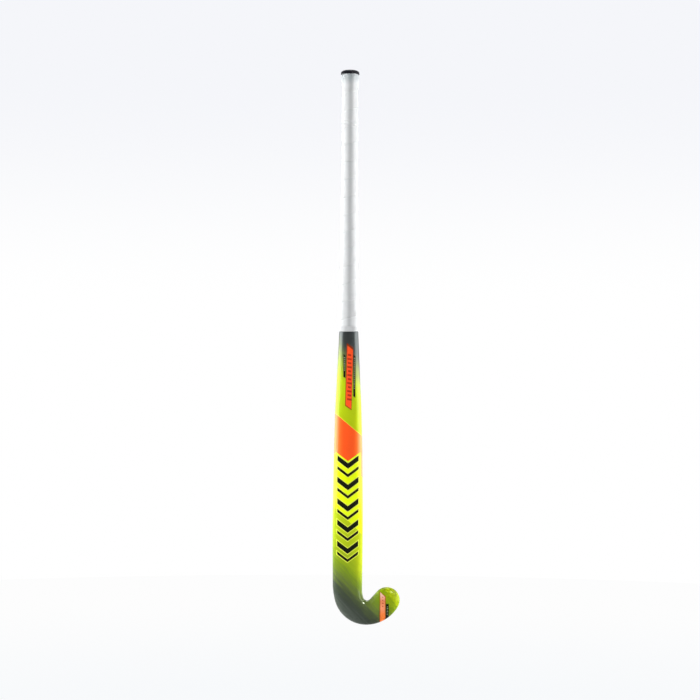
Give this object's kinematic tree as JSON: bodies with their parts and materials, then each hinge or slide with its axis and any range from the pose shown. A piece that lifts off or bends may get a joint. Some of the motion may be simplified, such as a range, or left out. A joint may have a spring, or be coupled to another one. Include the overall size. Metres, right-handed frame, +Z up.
{
  "type": "field hockey stick",
  "caption": "Right-handed composite field hockey stick: J-shaped hook with a flat face and rounded back, bowed shaft, white cushion grip and domed butt cap.",
  "frame": {"origin": "inside the handle at mid-grip, on the handle's centre line, 705 mm above the lowest point of the head", "axes": "+Z up the handle to the butt cap, +X towards the toe, +Y out of the flat playing face (the rounded back looks to -Y)"},
  "size_m": [0.1125, 0.0508, 0.9269],
  "materials": {
    "lacquered_laminate": "gloss",
    "inner_laminate": "satin",
    "core_foam": "matte",
    "underlay_foam": "matte",
    "grip_tape": "satin",
    "finishing_tape": "satin",
    "cap_rubber": "matte",
    "plug_plastic": "matte",
    "print_orange": "gloss",
    "print_black": "gloss"
  },
  "bodies": {
    "root": {"outer_shell": "lacquered_laminate", "head_core": "core_foam", "heel_side_tube": "inner_laminate", "heel_side_foam": "core_foam", "toe_side_tube": "inner_laminate", "toe_side_foam": "core_foam", "face_stiffener": "inner_laminate", "back_stiffener": "inner_laminate", "grip_underlay": "underlay_foam", "pommel_ring": "cap_rubber", "cushion_grip": "grip_tape", "finishing_band": "finishing_tape", "butt_plug": "plug_plastic", "butt_cap": "cap_rubber", "nameplate_film": "print_orange", "left_plate_film": "print_black", "right_plate_film": "print_black", "diagonal_stripe_film": "print_orange", "wide_chevron_film_1": "print_black", "narrow_chevron_film_1": "print_black", "wide_chevron_film_2": "print_black", "narrow_chevron_film_2": "print_black", "wide_chevron_film_3": "print_black", "narrow_chevron_film_3": "print_black", "wide_chevron_film_4": "print_black", "narrow_chevron_film_4": "print_black", "wide_chevron_film_5": "print_black", "narrow_chevron_film_5": "print_black", "toe_bar_film": "print_orange", "toe_mark_film": "print_black"}
  },
  "joints": []
}
